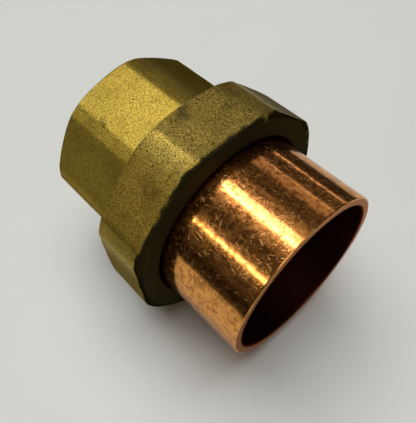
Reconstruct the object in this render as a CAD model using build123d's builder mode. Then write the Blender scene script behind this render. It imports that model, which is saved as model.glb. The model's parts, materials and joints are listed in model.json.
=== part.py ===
from build123d import *
import math
import os

os.makedirs("parts", exist_ok=True)

# A solder-by-solder pipe union for nominal 1-1/2 in copper tube, all sizes in mm.
# The axis is +X, from the mouth of the body's socket (the origin) to the mouth of the tail's.
# The union lies on one flat of its nut, so +Z is up and the axis is level.

# Tube, sockets and waterway
tube_diameter = 41.28
solder_gap = 0.06
socket_radius = tube_diameter / 2 + solder_gap
socket_depth = 27.7
waterway_radius = 19.0
overall_length = 65.2

# Thread that draws the nut onto the body: right hand, 14 turns to the inch
thread_pitch = 25.4 / 14
body_root_radius = 25.0
body_crest_radius = 26.1
nut_root_radius = 26.3
nut_crest_radius = 25.2
thread_datum = 24.0
crest_width = 0.4
flank_angle = 24.3
ridge_sink = 0.1

# Octagonal wrench part of the body, and its threaded head
body_flats = 46.2
body_corners = 48.7
body_turn = 13.3
body_rear_chamfer = 0.9
head_rear = 23.7
head_front = 33.3
head_chamfer = 0.6
body_thread_first = 24.7
body_thread_last = 32.5

# Union nut
nut_rear = 26.4
nut_front = 41.4
nut_flats = 57.9
nut_corners = 60.8
nut_chamfer = 0.8
nut_mouth_chamfer = 0.5
nut_thread_first = 27.25
nut_thread_last = 34.0
nut_thread_room = 34.9
nut_chamber_radius = 25.3
nut_shoulder = 37.85
nut_hole_radius = 23.8
nut_hole_chamfer = 0.4

# Tail piece: straight outside, with a collar and a ball seat at its inner end
tail_radius = 23.0
tail_rim_chamfer = 0.3
collar_radius = 24.9
collar_back = 37.8
collar_root_fillet = 0.4

# Ground seat: a ball on the tail against a cone in the body
seat_angle = 45
seat_contact_radius = 21.5
seat_bottom_radius = 19.6
seat_mouth_radius = 23.3
seat_gap = 0.05
nose_clearance = 0.4

octagon_sides = 8
half_side_angle = 180 / octagon_sides


def across_corners_radius(flats):
    """The sharp corner radius of an octagon, from its size across the flats."""
    return flats / 2 / math.cos(math.radians(half_side_angle))


def thread_ridge(root_radius, crest_radius, first, last, datum):
    """A right-hand helical ridge about the X axis, with its foot sunk a little into its wall.

    Its middle passes straight above the axis at x = datum, and at every pitch from there.
    """
    outward = 1 if crest_radius > root_radius else -1
    height = abs(crest_radius - root_radius)
    half_crest = crest_width / 2
    half_foot = half_crest + (height + ridge_sink) * math.tan(math.radians(flank_angle))
    with BuildPart() as ridge:
        with BuildLine() as path:
            Helix(
                pitch=thread_pitch,
                height=last - first,
                radius=root_radius,
                center=(first, 0, 0),
                direction=(1, 0, 0),
            )
        with BuildSketch(Plane(origin=path.line @ 0, x_dir=(1, 0, 0), z_dir=path.line % 0)):
            with BuildLine():
                Polyline(
                    (-half_foot, -outward * ridge_sink),
                    (half_foot, -outward * ridge_sink),
                    (half_crest, outward * height),
                    (-half_crest, outward * height),
                    close=True,
                )
            make_face()
        sweep(path=path.line, is_frenet=True)
    turn = 360 * (first - datum) / thread_pitch
    return ridge.part.rotate(Axis.X, turn)


# Places along the axis that follow from the seat
seat_slope = math.tan(math.radians(seat_angle))
seat_bottom = head_front - (seat_mouth_radius - seat_bottom_radius) / seat_slope
contact_x = seat_bottom + (seat_contact_radius - seat_bottom_radius) / seat_slope
ball_radius = seat_contact_radius / math.cos(math.radians(seat_angle))
ball_centre = contact_x + ball_radius * math.sin(math.radians(seat_angle)) + seat_gap
nose_x = seat_bottom + nose_clearance
nose_radius = math.sqrt(ball_radius**2 - (ball_centre - nose_x) ** 2)
collar_front = ball_centre - math.sqrt(ball_radius**2 - collar_radius**2)
tail_stop = overall_length - socket_depth


# Threads, half a pitch apart so that they mesh
body_thread = thread_ridge(
    body_root_radius, body_crest_radius, body_thread_first, body_thread_last, thread_datum
)
nut_thread = thread_ridge(
    nut_root_radius,
    nut_crest_radius,
    nut_thread_first,
    nut_thread_last,
    thread_datum + thread_pitch / 2,
)


# Threaded body: octagonal outside, threaded head, conical seat and solder socket
with BuildPart() as threaded_body:
    with BuildSketch(Plane.YZ):
        RegularPolygon(
            radius=across_corners_radius(body_flats),
            side_count=octagon_sides,
            rotation=half_side_angle + body_turn,
        )
    extrude(amount=head_rear)
    with BuildSketch(Plane.XZ):
        with BuildLine():
            Polyline(
                (0, 0),
                (0, body_flats / 2),
                (body_rear_chamfer, body_corners / 2),
                (head_rear, body_corners / 2),
                (head_rear, 0),
                close=True,
            )
        make_face()
    revolve(axis=Axis.X, mode=Mode.INTERSECT)
    with BuildSketch(Plane.XZ):
        with BuildLine():
            Polyline(
                (head_rear, 0),
                (head_rear, body_root_radius),
                (head_front - head_chamfer, body_root_radius),
                (head_front, body_root_radius - head_chamfer),
                (head_front, 0),
                close=True,
            )
        make_face()
    revolve(axis=Axis.X)
    add(body_thread)
    with BuildSketch(Plane.XZ):
        with BuildLine():
            Polyline(
                (0, 0),
                (0, socket_radius),
                (socket_depth, socket_radius),
                (socket_depth, waterway_radius),
                (seat_bottom, waterway_radius),
                (seat_bottom, seat_bottom_radius),
                (head_front, seat_mouth_radius),
                (head_front, 0),
                close=True,
            )
        make_face()
    revolve(axis=Axis.X, mode=Mode.SUBTRACT)

threaded_body.part.label = "threaded_body"
export_step(threaded_body.part, "parts/threaded_body.step")


# Union nut: octagonal outside, thread, chamber for the collar, and the lip that pulls on it
with BuildPart() as union_nut:
    with BuildSketch(Plane.YZ.offset(nut_rear)):
        RegularPolygon(
            radius=across_corners_radius(nut_flats),
            side_count=octagon_sides,
            rotation=half_side_angle,
        )
    extrude(amount=nut_front - nut_rear)
    with BuildSketch(Plane.XZ):
        with BuildLine():
            Polyline(
                (nut_rear, 0),
                (nut_rear, nut_flats / 2),
                (nut_rear + nut_chamfer, nut_corners / 2),
                (nut_front - nut_chamfer, nut_corners / 2),
                (nut_front, nut_flats / 2),
                (nut_front, 0),
                close=True,
            )
        make_face()
    revolve(axis=Axis.X, mode=Mode.INTERSECT)
    with BuildSketch(Plane.XZ):
        with BuildLine():
            Polyline(
                (nut_rear, 0),
                (nut_rear, nut_root_radius + nut_mouth_chamfer),
                (nut_rear + nut_mouth_chamfer, nut_root_radius),
                (nut_thread_room, nut_root_radius),
                (nut_thread_room, nut_chamber_radius),
                (nut_shoulder, nut_chamber_radius),
                (nut_shoulder, nut_hole_radius),
                (nut_front - nut_hole_chamfer, nut_hole_radius),
                (nut_front, nut_hole_radius + nut_hole_chamfer),
                (nut_front, 0),
                close=True,
            )
        make_face()
    revolve(axis=Axis.X, mode=Mode.SUBTRACT)
    add(nut_thread)

union_nut.part.label = "union_nut"
export_step(union_nut.part, "parts/union_nut.step")


# Tail piece: solder socket, collar and ball seat
with BuildPart() as tail_piece:
    with BuildSketch(Plane.XZ) as tail_section:
        with BuildLine():
            Polyline(
                (nose_x, nose_radius),
                (nose_x, waterway_radius),
                (tail_stop, waterway_radius),
                (tail_stop, socket_radius),
                (overall_length, socket_radius),
                (overall_length, tail_radius - tail_rim_chamfer),
                (overall_length - tail_rim_chamfer, tail_radius),
                (collar_back, tail_radius),
                (collar_back, collar_radius),
                (collar_front, collar_radius),
            )
            RadiusArc((collar_front, collar_radius), (nose_x, nose_radius), -ball_radius)
        make_face()
        fillet(
            tail_section.vertices().sort_by_distance((collar_back, tail_radius))[0],
            radius=collar_root_fillet,
        )
    revolve(axis=Axis.X)

tail_piece.part.label = "tail_piece"
export_step(tail_piece.part, "parts/tail_piece.step")
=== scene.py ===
import json
import math

import bpy
import numpy as np
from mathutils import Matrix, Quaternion, Vector


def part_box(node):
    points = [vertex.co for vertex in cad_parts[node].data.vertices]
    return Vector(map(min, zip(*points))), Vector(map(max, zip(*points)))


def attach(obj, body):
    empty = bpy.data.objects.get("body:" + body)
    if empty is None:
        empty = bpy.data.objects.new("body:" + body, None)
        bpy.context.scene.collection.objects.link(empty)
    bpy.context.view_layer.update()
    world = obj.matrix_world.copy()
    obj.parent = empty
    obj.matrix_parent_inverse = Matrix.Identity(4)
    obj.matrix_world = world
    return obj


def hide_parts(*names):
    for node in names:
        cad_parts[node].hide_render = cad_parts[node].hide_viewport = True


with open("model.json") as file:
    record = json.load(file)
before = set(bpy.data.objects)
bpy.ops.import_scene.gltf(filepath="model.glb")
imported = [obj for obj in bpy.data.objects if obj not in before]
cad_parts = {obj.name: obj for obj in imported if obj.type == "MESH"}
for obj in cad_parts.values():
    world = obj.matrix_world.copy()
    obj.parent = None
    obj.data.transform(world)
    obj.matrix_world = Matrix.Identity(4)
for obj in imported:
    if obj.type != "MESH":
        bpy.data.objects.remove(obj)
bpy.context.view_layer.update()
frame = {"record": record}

# The union's own lengths are in millimetres, and become metres where a mesh or the camera is
# made. The board, cards and lights around it are laid out in metres.
MM = 0.001


def node_box(node):
    """Lowest and highest corner of a CAD node, in millimetres."""
    low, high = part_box(node)
    return np.array(low) / MM, np.array(high) / MM


nut_low, nut_high = node_box("union_nut")
body_high = node_box("threaded_body")[1]
tail_low, tail_high = node_box("tail_piece")
mounts = {mount["name"]: mount for mount in frame["record"]["mounts"]}
SOCKET_RADIUS = mounts["tail_socket"]["dims"]["r_mm"]
SOCKET_DEPTH = mounts["tail_socket"]["dims"]["length_mm"]
WATERWAY_RADIUS = 19.0

# Thread
PITCH = 25.4 / 14
THREAD_DATUM = 24.0
RIDGE_HEIGHT = 1.1
RIDGE_HALF_CREST = 0.2
RIDGE_HALF_FOOT = 0.7
RIDGE_SOFTNESS = 0.18
RIDGE_RUNOUT = PITCH * 0.12
BODY_ROOT_RADIUS = body_high[2] - RIDGE_HEIGHT
NUT_ROOT_RADIUS = 26.3

# Threaded body
BODY_FLATS = 46.2
BODY_CORNERS = 48.7
BODY_TURN = math.radians(13.3)
BODY_CHAMFER = 0.9
HEAD_REAR = 23.7
HEAD_FRONT = body_high[0]
HEAD_CHAMFER = 0.6
HEAD_FILLET = 0.7
BODY_THREAD = (24.7, 32.5)
SEAT_BOTTOM = 29.6
SEAT_BOTTOM_RADIUS = 19.6
SEAT_MOUTH_RADIUS = 23.3

# Union nut
NUT_REAR = nut_low[0]
NUT_FRONT = nut_high[0]
NUT_FLATS = nut_high[2] - nut_low[2]
NUT_CORNERS = 60.8
NUT_CHAMFER = 0.8
NUT_THREAD = (27.25, 34.0)
NUT_THREAD_ROOM = 34.9
NUT_CHAMBER_RADIUS = 25.3
NUT_SHOULDER = 37.85
NUT_HOLE_RADIUS = 23.8
NUT_MOUTH_CHAMFER = 0.5

# Tail piece
TAIL_RADIUS = 23.0
TAIL_NOSE = tail_low[0]
TAIL_RIM = tail_high[0]
TAIL_STOP = TAIL_RIM - SOCKET_DEPTH
COLLAR_RADIUS = tail_high[2]
COLLAR_BACK = 37.8
COLLAR_FRONT = 35.6
COLLAR_FILLET = 0.4
BALL_CENTRE = 53.05
BALL_RADIUS = 30.406

# How far the cast surfaces rise and fall
BODY_UNEVENNESS = 0.045
NUT_UNEVENNESS = 0.055

# The nut's front edge is painted dark, partly stain and partly painted shade, for about this far
# back
DARK_EDGE = 1.1

# How far the octagons' edges, and those of their chamfers, are softened
OCTAGON_SOFTNESS = 0.28
CHAMFER_SOFTNESS = 0.25

# Radii of the small rounded edges
BODY_EDGE = 0.25
SEAT_EDGE = 0.15
HEAD_EDGE = 0.1
NUT_EDGE = 0.2
NUT_HOLE_EDGE = 0.4
COLLAR_EDGE = 0.2
RIM_EDGE = 0.35
SOCKET_EDGE = 0.3

FLOOR_HEIGHT = nut_low[2]


def add_object(name, data):
    """A new object in the scene that holds this mesh, light or camera."""
    thing = bpy.data.objects.new(name, data)
    bpy.context.scene.collection.objects.link(thing)
    return thing


# ---------------------------------------------------------------- shapes


def soft_min(a, b, blend):
    """The smaller of a and b, rounded over where they differ by less than blend."""
    share = np.clip(0.5 + 0.5 * (b - a) / blend, 0, 1)
    return b + (a - b) * share - blend * share * (1 - share)


def edge_round(distance, radius):
    """How far a rounded edge falls back, at this distance from the end face."""
    inside = np.clip(radius - distance, 0, radius)
    return radius - np.sqrt(radius**2 - inside**2)


def octagon(angle, flats, corners, turn):
    """Radius of an octagon whose corners are turned to a circle, with softened edges."""
    side = math.tau / 8
    from_flat = (angle - turn + side / 2) % side - side / 2
    return soft_min(flats / 2 / np.cos(from_flat), corners / 2 + 0 * angle, OCTAGON_SOFTNESS)


def thread_ridge(x, angle, span, datum):
    """Height of a right-hand helical ridge above its root.

    Angles start at +Y, and a quarter turn is +Z.
    """
    turns = (angle - math.pi / 2) / math.tau
    along = x - datum - PITCH * turns
    nearest = np.round(along / PITCH)
    offset = np.abs(along - nearest * PITCH)
    middle = datum + PITCH * (turns + nearest)
    flank = (RIDGE_HALF_FOOT - offset) / (RIDGE_HALF_FOOT - RIDGE_HALF_CREST)
    first, last = span
    risen = np.clip((middle - first) / RIDGE_RUNOUT, 0, 1)
    fade = risen * np.clip((last - middle) / RIDGE_RUNOUT, 0, 1)
    return RIDGE_HEIGHT * fade * soft_min(np.clip(flank, 0, 2), 1 + 0 * flank, RIDGE_SOFTNESS)


def ripple(points, size, seed):
    """Smooth random heights from about -1 to 1, in bumps of this size, at points in millimetres."""
    table = np.random.default_rng(seed).uniform(-1, 1, (32, 32, 32))
    place = points / size + 100
    cell = np.floor(place).astype(int)
    part = place - cell
    part = part * part * (3 - 2 * part)
    total = 0
    for corner in np.ndindex(2, 2, 2):
        weight = np.prod(np.where(corner, part, 1 - part), axis=-1)
        i, j, k = np.moveaxis((cell + corner) % 32, -1, 0)
        total = total + weight * table[i, j, k]
    return total


def stops(start, end, step, *edges):
    """Places from start to end about one step apart, closer together beside each edge."""
    near = np.array([0, 0.02, 0.06, 0.12, 0.2, 0.32, 0.5])
    places = list(np.linspace(start, end, max(2, round(abs(end - start) / step) + 1)))
    for edge in (start, end, *edges):
        places += list(edge - near) + list(edge + near)
    low, high = min(start, end), max(start, end)
    places = np.unique(np.round([p for p in places if low <= p <= high], 3))
    return places if start < end else places[::-1]


def octagon_angles(turn):
    """Angles round an octagon, closer together beside each edge of its flats."""
    half = [0, 4, 8, 11, 13.5, 15.2, 16.2, 16.9, 17.4, 17.9, 18.4, 18.9, 19.5, 20.4, 21.4]
    side = [-a for a in reversed(half[1:])] + half + [22.5]
    return np.radians([45 * k + a for k in range(8) for a in side]) + turn


def ring_piece(name, stations, angles, surfaces, finishes, rough=0.0):
    """A closed ring about the X axis, between an outer and an inner surface.

    stations are the places along X of the outer and inner surface, and surfaces give their
    radius at (x, angle). finishes tell, from 0 to 1, how far a place is turned smooth rather
    than cast, and how far it is painted dark, for stain and painted shade. rough is the
    casting's unevenness in millimetres.
    """
    outer_stops, inner_stops = stations
    outer, inner = surfaces
    machined, stained = finishes
    face = np.linspace(0, 1, 9)[1:-1]
    x_front, x_rear = outer_stops[-1], outer_stops[0]
    x = np.concatenate(
        [outer_stops, np.full(len(face), x_front), inner_stops, np.full(len(face), x_rear)]
    )
    share = np.concatenate(
        [np.ones(len(outer_stops)), 1 - face, np.zeros(len(inner_stops)), face]
    )
    x_grid, angle_grid = np.meshgrid(x, angles, indexing="ij")
    share_grid = np.repeat(share[:, None], len(angles), axis=1)
    radius = share_grid * outer(x_grid, angle_grid) + (1 - share_grid) * inner(x_grid, angle_grid)
    turned = machined(x_grid, angle_grid, share_grid)
    across = np.stack([np.cos(angle_grid), np.sin(angle_grid)], axis=-1)
    if rough:
        spots = np.concatenate([x_grid[..., None], across * radius[..., None]], axis=-1)
        uneven = ripple(spots, 6.0, 1) + 0.5 * ripple(spots, 2.2, 2) + 0.3 * ripple(spots, 0.9, 3)
        radius = radius + rough * uneven * (1 - turned)
    points = np.concatenate([x_grid[..., None], across * radius[..., None]], axis=-1)
    dark = stained(x_grid, angle_grid, share_grid)
    shares = {"machined": turned, "stained": dark, "outside": share_grid}
    return ring_mesh(name, points, angles, shares)


def ring_mesh(name, points, angles, shares):
    """Makes the mesh of a ring from its grid of points, unrolled for texture and smooth shaded."""
    count, around = points.shape[:2]
    i, j = np.meshgrid(np.arange(count), np.arange(around), indexing="ij")
    next_i, next_j = (i + 1) % count, (j + 1) % around
    corners = [(i, j), (i, next_j), (next_i, next_j), (next_i, j)]
    faces = np.stack([a * around + b for a, b in corners], axis=-1).reshape(-1, 4)
    mesh = bpy.data.meshes.new(name)
    mesh.vertices.add(count * around)
    mesh.vertices.foreach_set("co", (points * MM).reshape(-1))
    mesh.loops.add(faces.size)
    mesh.loops.foreach_set("vertex_index", faces.reshape(-1))
    mesh.polygons.add(len(faces))
    mesh.polygons.foreach_set("loop_start", np.arange(0, faces.size, 4))
    mesh.polygons.foreach_set("use_smooth", np.ones(len(faces), bool))
    mesh.update(calc_edges=True)
    middle = points.mean(axis=1)
    middle_radius = np.linalg.norm(points[..., 1:], axis=-1).mean(axis=1)
    section = np.stack([middle[:, 0], middle_radius], axis=-1)
    steps = np.linalg.norm(np.diff(section, axis=0, append=section[:1]), axis=-1)
    along = np.concatenate([[0], np.cumsum(steps)])
    turn = np.append(angles, angles[0] + math.tau) * TAIL_RADIUS
    u = np.stack([along[i], along[i], along[i + 1], along[i + 1]], axis=-1)
    v = np.stack([turn[j], turn[j + 1], turn[j + 1], turn[j]], axis=-1)
    unrolled = mesh.uv_layers.new(name="unrolled")
    unrolled.data.foreach_set("uv", (np.stack([u, v], axis=-1) * MM).reshape(-1).astype(np.float32))
    for share_name, values in shares.items():
        attribute = mesh.attributes.new(share_name, "FLOAT", "POINT")
        attribute.data.foreach_set("value", values.reshape(-1).astype(np.float32))
    return add_object(name, mesh)


# ---------------------------------------------------------------- the three pieces


def body_outer(x, angle):
    rear_cone = BODY_FLATS / 2 + x * (BODY_CORNERS - BODY_FLATS) / 2 / BODY_CHAMFER
    sides = octagon(angle, BODY_FLATS, BODY_CORNERS, BODY_TURN)
    wrench = soft_min(sides, rear_cone, CHAMFER_SOFTNESS) - edge_round(x, BODY_EDGE)
    head = BODY_ROOT_RADIUS + thread_ridge(x, angle, BODY_THREAD, THREAD_DATUM)
    front_cone = BODY_ROOT_RADIUS - HEAD_CHAMFER + (HEAD_FRONT - x)
    head = soft_min(head, front_cone, HEAD_EDGE)
    swell = edge_round(HEAD_REAR - x, HEAD_FILLET)
    return np.where(x < HEAD_REAR, np.minimum(wrench + swell, BODY_ROOT_RADIUS), head)


def body_inner(x, angle):
    cone = SEAT_BOTTOM_RADIUS + (x - SEAT_BOTTOM) * (SEAT_MOUTH_RADIUS - SEAT_BOTTOM_RADIUS) / (
        HEAD_FRONT - SEAT_BOTTOM
    )
    bore = np.where(x < SOCKET_DEPTH, SOCKET_RADIUS, WATERWAY_RADIUS)
    mouth = edge_round(x, SOCKET_EDGE) + edge_round(HEAD_FRONT - x, SEAT_EDGE)
    return np.where(x > SEAT_BOTTOM, cone, bore) + mouth


def body_machined(x, angle, share):
    """The socket, seat, threaded head and end faces are turned, and the octagon is cast."""
    return np.where((share < 0.99) | (x > HEAD_REAR - 0.1), 1.0, 0.0)


def nut_outer(x, angle):
    slope = (NUT_CORNERS - NUT_FLATS) / 2 / NUT_CHAMFER
    cones = NUT_FLATS / 2 + np.minimum(x - NUT_REAR, NUT_FRONT - x) * slope
    shape = soft_min(octagon(angle, NUT_FLATS, NUT_CORNERS, 0), cones, CHAMFER_SOFTNESS)
    return shape - edge_round(x - NUT_REAR, NUT_EDGE) - edge_round(NUT_FRONT - x, NUT_EDGE)


def nut_inner(x, angle):
    thread = NUT_ROOT_RADIUS - thread_ridge(x, angle, NUT_THREAD, THREAD_DATUM + PITCH / 2)
    thread = np.maximum(thread, NUT_ROOT_RADIUS + NUT_MOUTH_CHAMFER - (x - NUT_REAR))
    chamber = np.where(x < NUT_SHOULDER, NUT_CHAMBER_RADIUS, NUT_HOLE_RADIUS)
    bore = np.where(x < NUT_THREAD_ROOM, thread, chamber)
    return bore + edge_round(NUT_FRONT - x, NUT_HOLE_EDGE)


def nut_machined(x, angle, share):
    """Everything but the eight sides is turned, and so are the chamfers at their corners."""
    cone = np.minimum(x - NUT_REAR, NUT_FRONT - x) < NUT_CHAMFER * 0.55
    corner = octagon(angle, NUT_FLATS, NUT_CORNERS, 0) > NUT_FLATS / 2 + 0.6
    return np.where((share < 0.99) | (cone & corner), 1.0, 0.0)


def nut_stain_and_shade(x, angle, share):
    """The front face, the hole behind it and the edges beside it are painted dark, further back on
    the near side: partly a ragged stain, partly painted shade.
    """
    pattern_radius = 27
    across = (pattern_radius * np.cos(angle), pattern_radius * np.sin(angle))
    spots = np.stack([x, *across], axis=-1)
    ragged = x + 0.5 * ripple(spots, 1.6, 5) + 0.3 * ripple(spots, 0.7, 6)
    edge = np.clip((ragged - NUT_FRONT + DARK_EDGE - 0.4 * np.cos(angle)) / 0.5, 0, 1)
    return np.where(share > 0.99, edge, np.where(x > NUT_SHOULDER, 1.0, 0.0))


def unstained(x, angle, share):
    return 0 * x


def tail_outer(x, angle):
    """A ball and collar, then a plain tube that was drawn very slightly out of round."""
    ball = np.sqrt(np.clip(BALL_RADIUS**2 - (BALL_CENTRE - x) ** 2, 1, None))
    collar = soft_min(ball, COLLAR_RADIUS + 0 * x, COLLAR_EDGE)
    collar = collar - edge_round(COLLAR_BACK - x, COLLAR_EDGE)
    drawn = 0.012 * np.sin(5 * angle + 1) + 0.009 * np.sin(13 * angle) + 0.006 * np.sin(29 * angle)
    root = edge_round(x - COLLAR_BACK, COLLAR_FILLET)
    tube = TAIL_RADIUS + root - edge_round(TAIL_RIM - x, RIM_EDGE)
    return np.where(x <= COLLAR_BACK, collar, tube + drawn)


def tail_inner(x, angle):
    bore = np.where(x < TAIL_STOP, WATERWAY_RADIUS, SOCKET_RADIUS)
    return bore + edge_round(x - TAIL_NOSE, COLLAR_EDGE) + edge_round(TAIL_RIM - x, SOCKET_EDGE)


def tail_machined(x, angle, share):
    """The ball, collar and rim are turned."""
    return np.where((x < COLLAR_BACK + 0.1) | (share < 0.99), 1.0, 0.0)


def make_body():
    thread = stops(HEAD_REAR, HEAD_FRONT, 0.07)
    outer = np.concatenate([stops(0, HEAD_REAR - 0.005, 0.7, BODY_CHAMFER), thread])
    inner = stops(HEAD_FRONT, 0, 1.2, SEAT_BOTTOM, SOCKET_DEPTH)
    surfaces = (body_outer, body_inner)
    finishes = (body_machined, unstained)
    angles = octagon_angles(BODY_TURN)
    piece = ring_piece("cast_body", (outer, inner), angles, surfaces, finishes, BODY_UNEVENNESS)
    return stand_for(piece, "body", "threaded_body")


def make_nut():
    edges = (NUT_REAR + NUT_CHAMFER, NUT_FRONT - NUT_CHAMFER, NUT_FRONT - DARK_EDGE - 0.1)
    outer = stops(NUT_REAR, NUT_FRONT, 0.7, *edges)
    front = stops(NUT_FRONT, NUT_THREAD_ROOM, 0.8, NUT_SHOULDER)
    inner = np.concatenate([front, stops(NUT_THREAD_ROOM - 0.005, NUT_REAR, 0.07)])
    surfaces = (nut_outer, nut_inner)
    finishes = (nut_machined, nut_stain_and_shade)
    angles = octagon_angles(0)
    piece = ring_piece("octagon_nut", (outer, inner), angles, surfaces, finishes, NUT_UNEVENNESS)
    return stand_for(piece, "nut", "union_nut")


def make_tail():
    outer = stops(TAIL_NOSE, TAIL_RIM, 0.8, COLLAR_BACK, COLLAR_FRONT)
    inner = stops(TAIL_RIM, TAIL_NOSE, 1.2, TAIL_STOP)
    surfaces = (tail_outer, tail_inner)
    finishes = (tail_machined, unstained)
    angles = np.linspace(-math.pi / 2, 1.5 * math.pi, 288, endpoint=False)
    piece = ring_piece("copper_tail", (outer, inner), angles, surfaces, finishes)
    return stand_for(piece, "tail", "tail_piece")


def stand_for(piece, body, node):
    """Sets the piece on its CAD body, in place of its CAD node."""
    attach(piece, body)
    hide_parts(node)
    return piece


# ---------------------------------------------------------------- materials

# The two castings: the grain's crests and hollows, and the stains. The stain colour also serves
# as painted shade on the nut's front face and hole
BODY_LIGHT = (0.84, 0.665, 0.11)
BODY_DARK = (0.24, 0.16, 0.02)
BODY_TARNISH_AND_SHADE = (0.12, 0.08, 0.015)
NUT_LIGHT = (0.73, 0.565, 0.115)
NUT_DARK = (0.12, 0.085, 0.015)
NUT_TARNISH_AND_SHADE = (0.043, 0.039, 0.023)

# Both castings: painted shade on the near side, painted shade towards the bottom and on the far
# side, the near black of the nut's front edge (stain and painted shade), and the tint of what they
# mirror at a low angle
NEAR_SIDE_SHADE = (0.24, 0.13, 0.01)
FAR_AND_LOW_SHADE = (0.07, 0.06, 0.024)
BLACKENED_AND_SHADE = (0.02, 0.018, 0.01)
BRASS_GLINT = (1.0, 0.9, 0.65)

# Copper tail
COPPER_BRIGHT = (0.92, 0.44, 0.115)
COPPER_DEEP = (0.70, 0.29, 0.07)
COPPER_MOTTLE = (0.25, 0.076, 0.014)
COPPER_BLOTCH = (0.16, 0.047, 0.010)
COPPER_SCRATCH = (0.98, 0.56, 0.24)
COPPER_TURNED = (0.37, 0.18, 0.105)
COPPER_GROOVE_SHADE = (0.08, 0.03, 0.016)
COPPER_INSIDE = (0.07, 0.018, 0.01)
COPPER_GLINT = (1.0, 0.86, 0.74)
TURNED_GLINT = (0.72, 0.5, 0.39)
INSIDE_GLINT = (0.3, 0.1, 0.06)

# Scratches on the copper: angle to the axis in degrees, length and width
COPPER_MARKS = ((14, 3.2, 0.12), (62, 2.2, 0.11), (117, 2.8, 0.12), (150, 2.2, 0.11))


class Paint:
    """A node material, built by short calls that mostly return an output socket."""

    def __init__(self, name):
        self.material = bpy.data.materials.new(name)
        self.material.use_nodes = True
        self.tree = self.material.node_tree
        self.shader = self.tree.nodes["Principled BSDF"]
        self.place = self.add("ShaderNodeTexCoord").outputs["Object"]
        self.unrolled = self.add("ShaderNodeUVMap", uv_map="unrolled").outputs["UV"]
        self.machined = self.attribute("machined")
        self.stained = self.attribute("stained")
        self.outside = self.attribute("outside")

    def attribute(self, name):
        return self.add("ShaderNodeAttribute", attribute_name=name).outputs["Fac"]

    def add(self, kind, inputs=None, **settings):
        node = self.tree.nodes.new(kind)
        for key, value in settings.items():
            setattr(node, key, value)
        for key, value in (inputs or {}).items():
            self.set(node.inputs[key], value)
        return node

    def set(self, socket, value):
        if isinstance(value, bpy.types.NodeSocket):
            self.tree.links.new(value, socket)
        else:
            socket.default_value = value

    def noise(self, size, detail=2.0, where=None, roughness=0.5):
        """Noise with features of this size in millimetres."""
        inputs = {"Vector": where or self.place, "Scale": 1 / (size * MM)}
        inputs.update({"Detail": detail, "Roughness": roughness})
        return self.add("ShaderNodeTexNoise", inputs).outputs["Fac"]

    def steps(self, value, low, high):
        """0 below low, 1 above high, and smooth between."""
        inputs = {"Value": value, "From Min": low, "From Max": high}
        ramp = self.add("ShaderNodeMapRange", inputs, interpolation_type="SMOOTHSTEP")
        return ramp.outputs["Result"]

    def times(self, a, b):
        return self.add("ShaderNodeMath", {0: a, 1: b}, operation="MULTIPLY").outputs[0]

    def larger(self, a, b):
        return self.add("ShaderNodeMath", {0: a, 1: b}, operation="MAXIMUM").outputs[0]

    def mix(self, share, a, b):
        """Colour a where share is 0, and b where it is 1."""
        node = self.add("ShaderNodeMix", data_type="RGBA")
        for name, value in (("Factor_Float", share), ("A_Color", a), ("B_Color", b)):
            socket = next(s for s in node.inputs if s.identifier == name)
            self.set(socket, (*value, 1) if isinstance(value, tuple) else value)
        return next(s for s in node.outputs if s.identifier == "Result_Color")

    def blend(self, share, a, b):
        """Number a where share is 0, and b where it is 1."""
        return self.add("ShaderNodeMix", {0: share, 2: a, 3: b}).outputs[0]

    def bump(self, height, depth, normal=None):
        """A relief this many millimetres deep."""
        inputs = {"Height": height, "Distance": depth * MM, "Strength": 1.0}
        if normal:
            inputs["Normal"] = normal
        return self.add("ShaderNodeBump", inputs).outputs["Normal"]

    def beyond(self, axis, start, end):
        """0 before start and 1 past end, in millimetres along this axis."""
        parts = self.add("ShaderNodeSeparateXYZ", {0: self.place})
        return self.steps(parts.outputs[axis], start * MM, end * MM)

    def turned_lines(self, spacing):
        """Fine tool marks round the axis, this many millimetres apart."""
        drawn_out = {0: self.unrolled, 1: (1, 0.01, 1)}
        stretched = self.add("ShaderNodeVectorMath", drawn_out, operation="MULTIPLY").outputs[0]
        return self.noise(spacing, 1.0, stretched)

    def scratches(self, angle, length, width, share):
        """Short straight marks at this angle to the axis, on the unrolled surface.

        length and width are in millimetres, and a larger share gives more marks.
        """
        inputs = {
            "Vector": self.unrolled,
            "Rotation": (0, 0, math.radians(angle)),
            "Scale": (length / width, 1, 1),
        }
        turned = self.add("ShaderNodeMapping", inputs, vector_type="TEXTURE")
        lines = self.noise(width, 0.0, turned.outputs[0])
        return self.steps(lines, 1 - share, 1 - share + 0.06)

    def metal(self, colour, roughness, relief, tint):
        """Finishes the material as a metal. tint colours what it mirrors at a low angle."""
        self.set(self.shader.inputs["Base Color"], colour)
        self.set(self.shader.inputs["Roughness"], roughness)
        self.set(self.shader.inputs["Normal"], relief)
        self.set(self.shader.inputs["Specular Tint"], tint)
        self.shader.inputs["Metallic"].default_value = 1.0
        return self.material


def cast_colour(paint, grain, pits, light, dark, tarnish_and_shade, tarnish_share):
    """Sparkling grain with clouds, stains and tarnished pits."""
    clouds = paint.noise(7.0, 3.0)
    stains = paint.steps(paint.noise(5.0, 4.0, roughness=0.6), 0.62 - tarnish_share, 0.72)
    colour = paint.mix(paint.steps(grain, 0.41, 0.59), dark, light)
    colour = paint.mix(paint.times(paint.steps(clouds, 0.4, 0.7), 0.35), colour, dark)
    colour = paint.mix(paint.times(stains, 0.6), colour, tarnish_and_shade)
    return paint.mix(pits, colour, tarnish_and_shade)


def cast_relief(paint, grain, pits):
    """The casting's grain and pits, or tool marks where it is turned, on gentle waves."""
    height = paint.blend(pits, grain, -1.5)
    tool_marks = paint.times(paint.turned_lines(0.2), 0.25)
    relief = paint.bump(paint.blend(paint.machined, height, tool_marks), 0.07)
    return paint.bump(paint.noise(1.6, 2.0), 0.03, relief)


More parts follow.
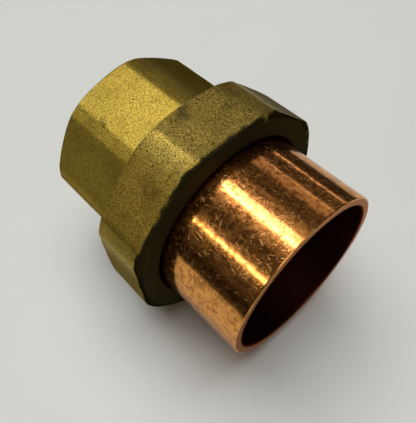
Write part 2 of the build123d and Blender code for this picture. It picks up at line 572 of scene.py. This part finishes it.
def cast_brass(name, light, dark, tarnish_and_shade, tarnish_share, shade_from):
    """Blasted cast brass, turned in places and painted dark in others, for stain and shade.

    It has painted shade: browner on the near side (-Y), and darker towards the bottom and on
    the far side past a given number of millimetres along Y, its last argument, where it also
    mirrors less. Places painted dark for stain and shade are rough and hardly mirror.
    """
    paint = Paint(name)
    grain = paint.noise(0.24, 2.0, roughness=0.7)
    cells = paint.add("ShaderNodeTexVoronoi", {"Vector": paint.place, "Scale": 1 / (5.0 * MM)})
    pits = paint.steps(cells.outputs["Distance"], 0.06, 0.035)
    colour = cast_colour(paint, grain, pits, light, dark, tarnish_and_shade, tarnish_share)
    # Painted shade: the near side (-Y) is mixed towards brown
    near_side_shade = paint.times(paint.beyond("Y", -12, -18), 0.42)
    colour = paint.mix(near_side_shade, colour, NEAR_SIDE_SHADE)
    # Painted shade: darker towards the bottom and on the far side
    low_side_shade = paint.times(paint.beyond("Z", 11, 0), 0.5)
    far_side_shade = paint.times(paint.beyond("Y", shade_from, shade_from + 9), 0.6)
    painted_shade = paint.larger(low_side_shade, far_side_shade)
    colour = paint.mix(painted_shade, colour, FAR_AND_LOW_SHADE)
    turned_colour = paint.mix(paint.turned_lines(0.25), light, dark)
    colour = paint.mix(paint.machined, colour, turned_colour)
    # Near black for the nut's front edge, and the stain colour for its face and hole: partly stain,
    # partly painted shade
    black = paint.mix(paint.steps(paint.outside, 0.96, 1.0), tarnish_and_shade, BLACKENED_AND_SHADE)
    colour = paint.mix(paint.times(paint.stained, 0.95), colour, black)
    rough = paint.blend(paint.machined, paint.blend(grain, 0.3, 0.46), 0.34)
    rough = paint.blend(paint.stained, rough, 0.6)
    # Where shade is painted, and on the nut's dark front, what the metal mirrors is tinted dark as
    # well
    tint = paint.mix(paint.larger(paint.stained, painted_shade), BRASS_GLINT, black)
    return paint.metal(colour, rough, cast_relief(paint, grain, pits), tint)


def crossing_scratches(paint, clouds):
    """Short scratches every way, gathered where the clouds are dense."""
    marks = None
    for angle, length, width in COPPER_MARKS:
        layer = paint.scratches(angle, length, width, 0.25)
        marks = layer if marks is None else paint.larger(marks, layer)
    return paint.times(marks, paint.steps(clouds, 0.38, 0.56))


def handled_colour(paint, clouds, scuffed):
    """Cloudy copper with scratches, dark blotches and a brown mottle that fades near the rim."""
    mottle = paint.steps(paint.noise(1.1, 5.0, roughness=0.7), 0.45, 0.57)
    mottle_strength = paint.blend(paint.beyond("X", 46, 60), 0.65, 0.4)
    blotches = paint.steps(paint.noise(2.2, 3.0, roughness=0.6), 0.5, 0.62)
    colour = paint.mix(clouds, COPPER_BRIGHT, COPPER_DEEP)
    colour = paint.mix(paint.times(mottle, mottle_strength), colour, COPPER_MOTTLE)
    colour = paint.mix(paint.times(blotches, 0.35), colour, COPPER_BLOTCH)
    return paint.mix(paint.times(scuffed, 0.75), colour, COPPER_SCRATCH)


def drawn_relief(paint, scuffed, outside):
    """Gentle waves and a fine unevenness, with the scratches on the tube's outside."""
    relief = paint.bump(paint.noise(2.5, 2.0), 0.004)
    relief = paint.bump(paint.noise(0.5, 3.0, roughness=0.7), 0.006, relief)
    return paint.bump(paint.times(scuffed, outside), 0.005, relief)


def polished_copper(name):
    """Drawn copper tube, handled and scuffed, with a turned rim and a dark socket.

    A thin dark line of painted shade, for a fine groove, runs round the rim, just inside its outer
    edge.
    """
    paint = Paint(name)
    clouds = paint.noise(4.0, 4.0, roughness=0.6)
    scuffed = crossing_scratches(paint, clouds)
    outside = paint.steps(paint.outside, 0.02, 0.12)
    colour = handled_colour(paint, clouds, scuffed)
    colour = paint.mix(paint.machined, colour, COPPER_TURNED)
    # Painted shade of a fine groove: a thin dark line round the rim, just inside its outer edge
    rim_side = paint.steps(paint.outside, 0.86, 0.92)
    groove_shade = paint.times(rim_side, paint.steps(paint.outside, 0.995, 0.97))
    colour = paint.mix(paint.times(groove_shade, 0.75), colour, COPPER_GROOVE_SHADE)
    colour = paint.mix(outside, COPPER_INSIDE, colour)
    grain = paint.noise(0.16, 1.0)
    rough = paint.blend(paint.steps(grain, 0.5, 0.62), 0.1, 0.27)
    rough = paint.blend(scuffed, rough, 0.28)
    rough = paint.blend(outside, 0.4, rough)
    tint = paint.mix(outside, INSIDE_GLINT, COPPER_GLINT)
    tint = paint.mix(paint.machined, tint, TURNED_GLINT)
    return paint.metal(colour, rough, drawn_relief(paint, scuffed, outside), tint)


def black_card(name):
    """Matt black card with a faint mottle."""
    paint = Paint(name)
    colour = paint.mix(paint.noise(20.0), (0.03, 0.02, 0.01), (0.015, 0.01, 0.005))
    paint.set(paint.shader.inputs["Base Color"], colour)
    paint.shader.inputs["Roughness"].default_value = 0.9
    return paint.material


def pale_floor(name):
    """Smooth pale board with a faint mottle."""
    paint = Paint(name)
    colour = paint.mix(paint.noise(40.0, 3.0), (0.80, 0.825, 0.805), (0.77, 0.795, 0.775))
    paint.set(paint.shader.inputs["Base Color"], colour)
    paint.set(paint.shader.inputs["Roughness"], paint.blend(paint.noise(12.0), 0.5, 0.6))
    paint.set(paint.shader.inputs["Normal"], paint.bump(paint.noise(0.8, 3.0), 0.01))
    return paint.material


# ---------------------------------------------------------------- stage, light and camera


def make_floor():
    """A round pale board, so that its edge lies level behind the union from every side."""
    mesh = bpy.data.meshes.new("floor")
    reach = 1.2
    height = FLOOR_HEIGHT * MM
    turns = np.linspace(0, math.tau, 128, endpoint=False)
    edge = [(reach * math.cos(turn), reach * math.sin(turn), height) for turn in turns]
    mesh.from_pydata(edge, [], [tuple(range(len(edge)))])
    mesh.materials.append(pale_floor("floor_board"))
    floor = add_object("floor", mesh)


def make_card(name, y, height):
    """A low black card on the floor, which only shows where the metal mirrors it.

    y is its place and height its own height, both in metres.
    """
    mesh = bpy.data.meshes.new(name)
    reach = 1.5
    low = FLOOR_HEIGHT * MM
    corners = [(-reach, low), (reach, low), (reach, low + height), (-reach, low + height)]
    mesh.from_pydata([(x, y, z) for x, z in corners], [], [(0, 1, 2, 3)])
    mesh.materials.append(black_card(name + "_black"))
    card = add_object(name, mesh)
    card.visible_camera = False
    card.visible_diffuse = False
    card.visible_shadow = False


def strip_light(name, across, width, lean, spread, brightness, colour):
    """A strip along the X direction, seen from the union at this angle from +Y towards +Z.

    width is the angle it fills across the axis, in degrees, and lean and spread are how far
    along X its middle lies and how long it is, as shares of its distance. It shows in
    reflections and lights nothing else.
    """
    distance = 1.2
    angle = math.radians(across)
    light = bpy.data.lights.new(name, "AREA")
    light.shape = "RECTANGLE"
    light.size = spread * distance
    light.size_y = 2 * distance * math.tan(math.radians(width) / 2)
    light.energy = brightness * math.pi * light.size * light.size_y
    light.color = colour
    lamp = add_object(name, light)
    lamp.visible_diffuse = False
    outward = Vector((0, math.cos(angle), math.sin(angle)))
    lamp.location = Vector((TAIL_STOP * MM + lean * distance, 0, 0)) + outward * distance
    lamp.rotation_mode = "QUATERNION"
    lamp.rotation_quaternion = Quaternion((1, 0, 0), angle - math.pi / 2)
    return lamp


def make_world():
    """A dim room where the metal mirrors it, and a pale backdrop where it is seen directly."""
    world = bpy.data.worlds.new("room")
    world.use_nodes = True
    tree = world.node_tree
    direction = tree.nodes.new("ShaderNodeTexCoord").outputs["Generated"]
    split = tree.nodes.new("ShaderNodeSeparateXYZ")
    tree.links.new(direction, split.inputs[0])
    shade = tree.nodes.new("ShaderNodeMapRange")
    shade.interpolation_type = "SMOOTHSTEP"
    limits = {"From Min": 0.02, "From Max": 0.35, "To Min": 0.055, "To Max": 0.07}
    for key, value in limits.items():
        shade.inputs[key].default_value = value
    tree.links.new(split.outputs["Z"], shade.inputs["Value"])
    room = tree.nodes["Background"]
    room.inputs["Color"].default_value = (1.0, 0.87, 0.78, 1)
    tree.links.new(shade.outputs["Result"], room.inputs["Strength"])
    backdrop = tree.nodes.new("ShaderNodeBackground")
    backdrop.inputs["Color"].default_value = (0.97, 1.0, 0.97, 1)
    backdrop.inputs["Strength"].default_value = 0.5
    path = tree.nodes.new("ShaderNodeLightPath")
    both = tree.nodes.new("ShaderNodeMixShader")
    tree.links.new(path.outputs["Is Camera Ray"], both.inputs[0])
    tree.links.new(room.outputs[0], both.inputs[1])
    tree.links.new(backdrop.outputs[0], both.inputs[2])
    tree.links.new(both.outputs[0], tree.nodes["World Output"].inputs["Surface"])
    bpy.context.scene.world = world


def make_lights():
    """Lamps, windows and walls for the metal to mirror, and one soft light for the floor."""
    white = (1.0, 0.985, 0.955)
    strip_light("ceiling_lamp", 94, 3.0, -0.40, 0.8, 7.6, (1.0, 0.91, 0.97))
    strip_light("ceiling_glow", 91, 14, -0.40, 0.8, 4.6, (1.0, 0.93, 1.0))
    strip_light("ceiling", 92, 44, -0.40, 0.8, 0.15, (1.0, 0.93, 0.88))
    strip_light("window_low", 145.6, 3.8, -0.45, 0.9, 7.0, (1.0, 0.95, 0.8))
    strip_light("window_glow", 142.5, 5, -0.45, 0.9, 1.2, (1.0, 0.93, 0.9))
    strip_light("far_lamp", 33, 1.4, -0.42, 0.9, 1.7, (1.0, 0.88, 1.0))
    strip_light("far_wall", 40, 13, -0.40, 0.8, 0.36, (1.0, 0.85, 0.9))
    strip_light("far_window", 11, 2.0, -0.35, 0.9, 2.2, (1.0, 0.88, 1.0))
    strip_light("front_fill", 100, 50, 0.9, 0.9, 3.0, white)
    floor_fill = strip_light("floor_fill", 85, 50, -0.25, 1.1, 3.25, white)
    floor_fill.visible_diffuse = True
    floor_fill.visible_glossy = False


def make_camera():
    """Stands where the photograph was taken: azimuth and elevation seen from the union."""
    azimuth = math.radians(50.2)
    elevation = math.radians(56.0)
    roll = math.radians(-4.2)
    target = Vector((35.7, -3.1, 0)) * MM
    distance = 124.1 * MM
    focal_share = 1.145
    back = Vector(
        (
            math.sin(azimuth) * math.cos(elevation),
            -math.cos(azimuth) * math.cos(elevation),
            math.sin(elevation),
        )
    )
    camera_data = bpy.data.cameras.new("camera")
    camera_data.lens = camera_data.sensor_width * focal_share
    camera_data.clip_start = 0.005
    camera = add_object("camera", camera_data)
    camera.location = target + back * distance
    camera.rotation_mode = "QUATERNION"
    level = (-back).to_track_quat("-Z", "Y")
    camera.rotation_quaternion = Quaternion(-back, -roll) @ level
    bpy.context.scene.camera = camera


body_brass = cast_brass(
    "body_brass_cast", BODY_LIGHT, BODY_DARK, BODY_TARNISH_AND_SHADE, tarnish_share=0.0, shade_from=3
)
nut_brass = cast_brass(
    "nut_brass_cast", NUT_LIGHT, NUT_DARK, NUT_TARNISH_AND_SHADE, tarnish_share=0.1, shade_from=12
)
make_body().data.materials.append(body_brass)
make_nut().data.materials.append(nut_brass)
make_tail().data.materials.append(polished_copper("tail_copper_scuffed"))
make_floor()
make_card("near_card", -0.15, 0.05)
make_card("far_card", 0.18, 0.075)
make_world()
make_lights()
make_camera()
bpy.context.scene.view_settings.view_transform = "Standard"
